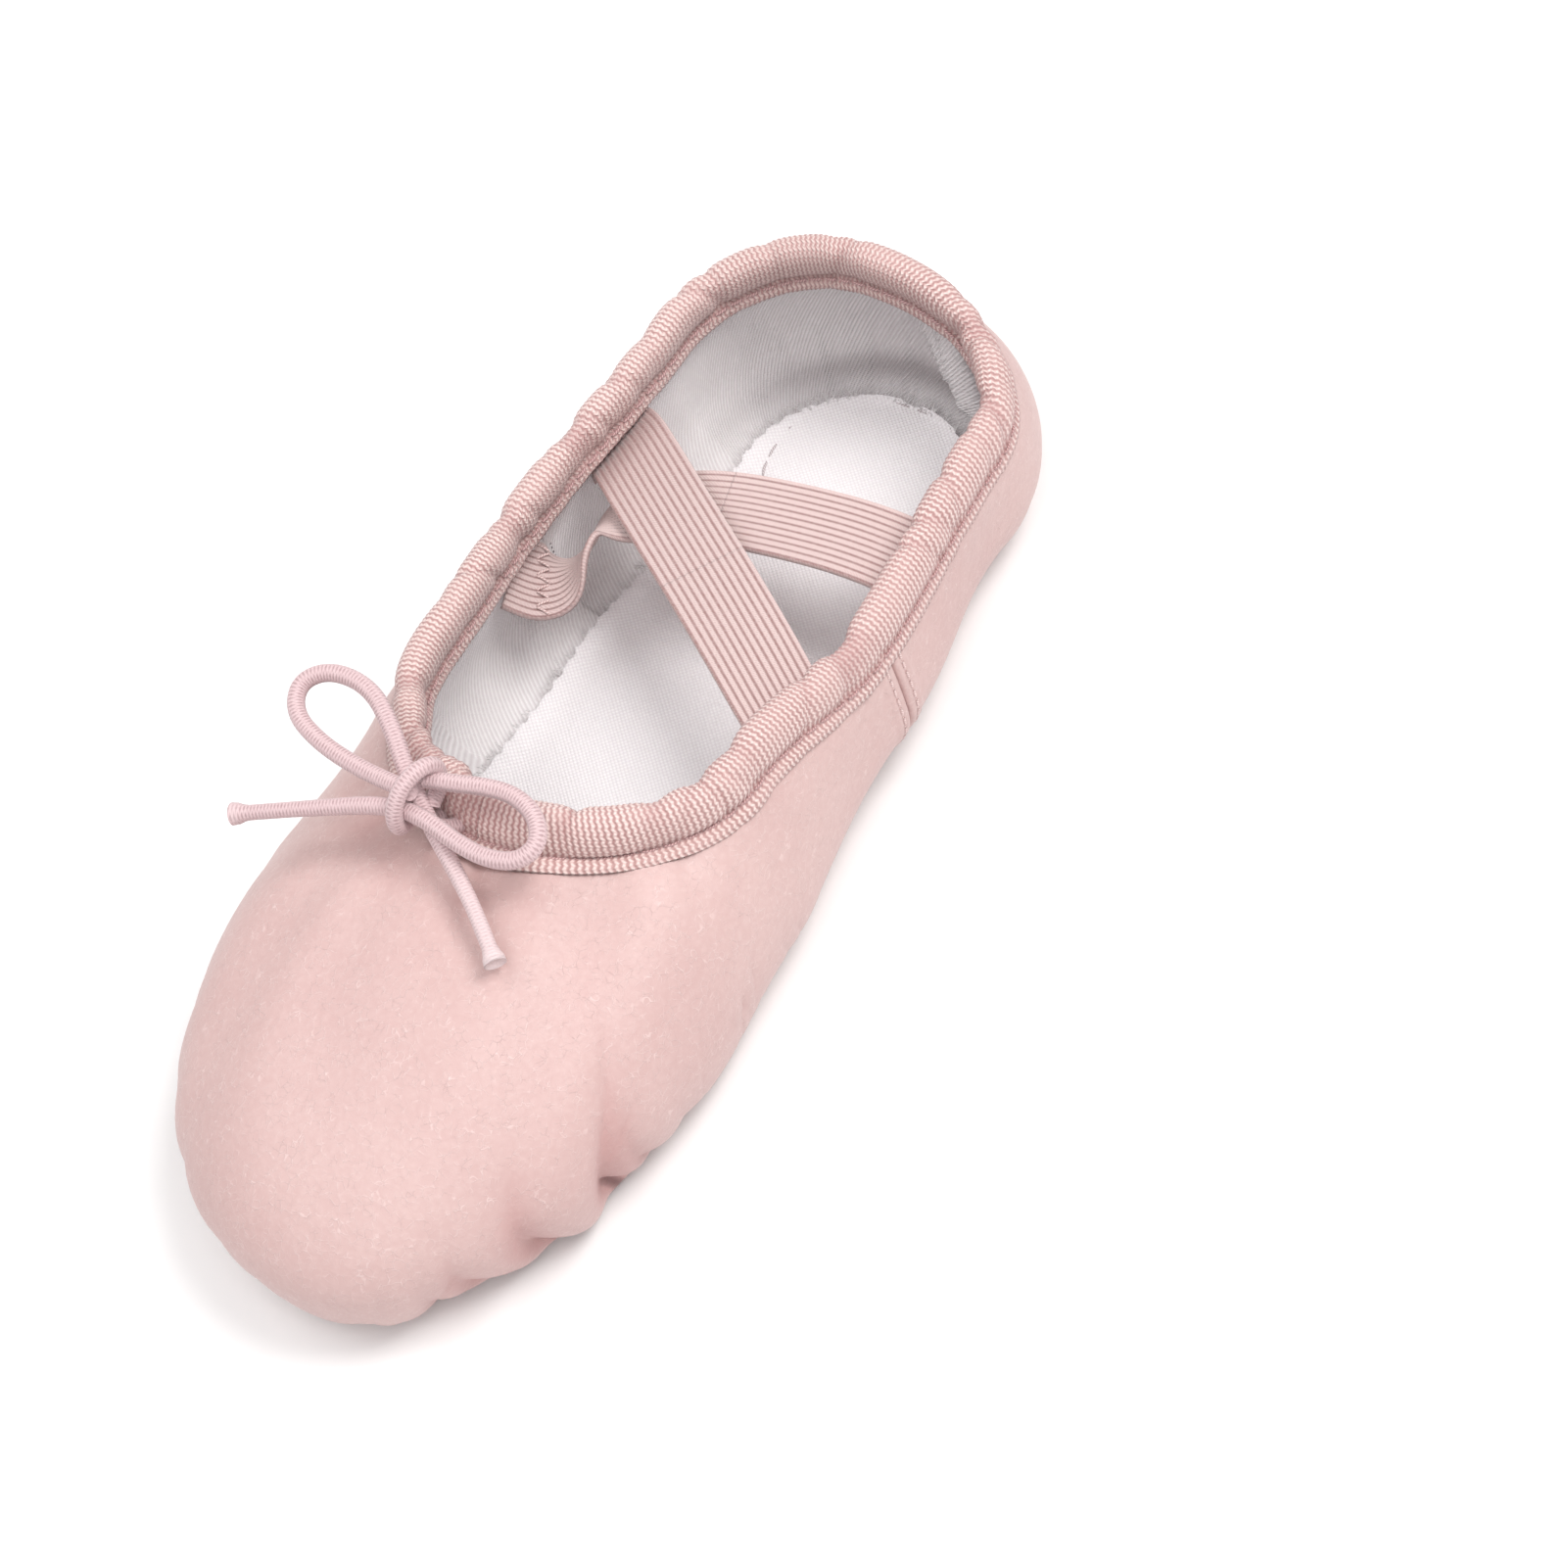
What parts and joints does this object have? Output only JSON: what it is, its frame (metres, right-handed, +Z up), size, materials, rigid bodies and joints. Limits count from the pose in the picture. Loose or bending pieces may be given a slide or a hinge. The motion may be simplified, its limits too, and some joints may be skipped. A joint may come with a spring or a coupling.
{
  "type": "ballet slipper",
  "caption": "Soft split-sole ballet slipper with pleated toe, ribbed drawstring binding tied in a bow, and two crossed elastic instep straps.",
  "frame": {"origin": "middle of the slipper's box, without the bow, at the height of the floor that its sole patches stand on", "axes": "+X to the toe, +Y to the wearer's left, +Z up"},
  "size_m": [0.18, 0.072, 0.0486],
  "materials": {
    "leather_upper": "satin, fine grain",
    "suede_sole": "matt suede",
    "cotton_lining": "cotton twill",
    "canvas_insole": "plain weave canvas",
    "binding_tape": "ribbed woven tape",
    "elastic_strap": "ribbed elastic",
    "elastic_cord": "braided elastic cord",
    "thread": "polyester thread",
    "foam": "needled felt"
  },
  "bodies": {
    "forefoot": {"vamp": "leather_upper", "vamp_lining": "cotton_lining", "insole": "canvas_insole", "forefoot_pad": "foam", "forefoot_sole_patch": "suede_sole", "forefoot_stitch_outer": "thread", "forefoot_stitch_inner": "thread", "side_seam_stitch_left": "thread", "side_seam_stitch_right": "thread", "arch_seam_stitch_left": "thread", "arch_seam_stitch_right": "thread", "binding_stitch": "thread", "strap_tacks": "thread", "topline_binding": "binding_tape", "casing_drawstring": "elastic_cord"},
    "heel": {"heel_quarter": "leather_upper", "quarter_lining": "cotton_lining", "heel_pad": "foam", "heel_sole_patch": "suede_sole", "heel_stitch_outer": "thread", "heel_stitch_inner": "thread"},
    "upper_strap": {"cross_strap_upper": "elastic_strap"},
    "lower_strap": {"cross_strap_lower": "elastic_strap"},
    "bow": {"bow_knot": "elastic_cord", "bow_cord_left": "elastic_cord", "bow_cord_right": "elastic_cord"}
  },
  "joints": [
    {"name": "arch_flex", "type": "hinge", "parent": "forefoot", "child": "heel", "pos_m": [-0.038, 0, 0.0315], "axis": [0, 1, 0], "range_deg": [0, 30], "deforming": ["topline_binding", "casing_drawstring", "binding_stitch", "insole", "side_seam_stitch_left", "side_seam_stitch_right", "arch_seam_stitch_left", "arch_seam_stitch_right", "strap_tacks", "cross_strap_upper", "cross_strap_lower"]},
    {"name": "lower_strap_lift", "type": "slide", "parent": "forefoot", "child": "lower_strap", "axis": [0, 0, 1], "range_m": [0, 0.012], "stiffness_N_per_m": 60, "deforming": ["cross_strap_upper", "cross_strap_lower"]},
    {"name": "upper_strap_lift", "type": "slide", "parent": "forefoot", "child": "upper_strap", "axis": [0, 0, 1], "range_m": [0, 0.012], "stiffness_N_per_m": 60, "deforming": ["cross_strap_upper", "cross_strap_lower"]},
    {"name": "bow_pull", "type": "slide", "parent": "forefoot", "child": "bow", "axis": [0.3489, 0, 0.9371], "range_m": [0, 0.01], "stiffness_N_per_m": 60}
  ],
  "couplings": [
    {"joint": "upper_strap_lift", "follows": "lower_strap_lift", "ratio": 1}
  ]
}
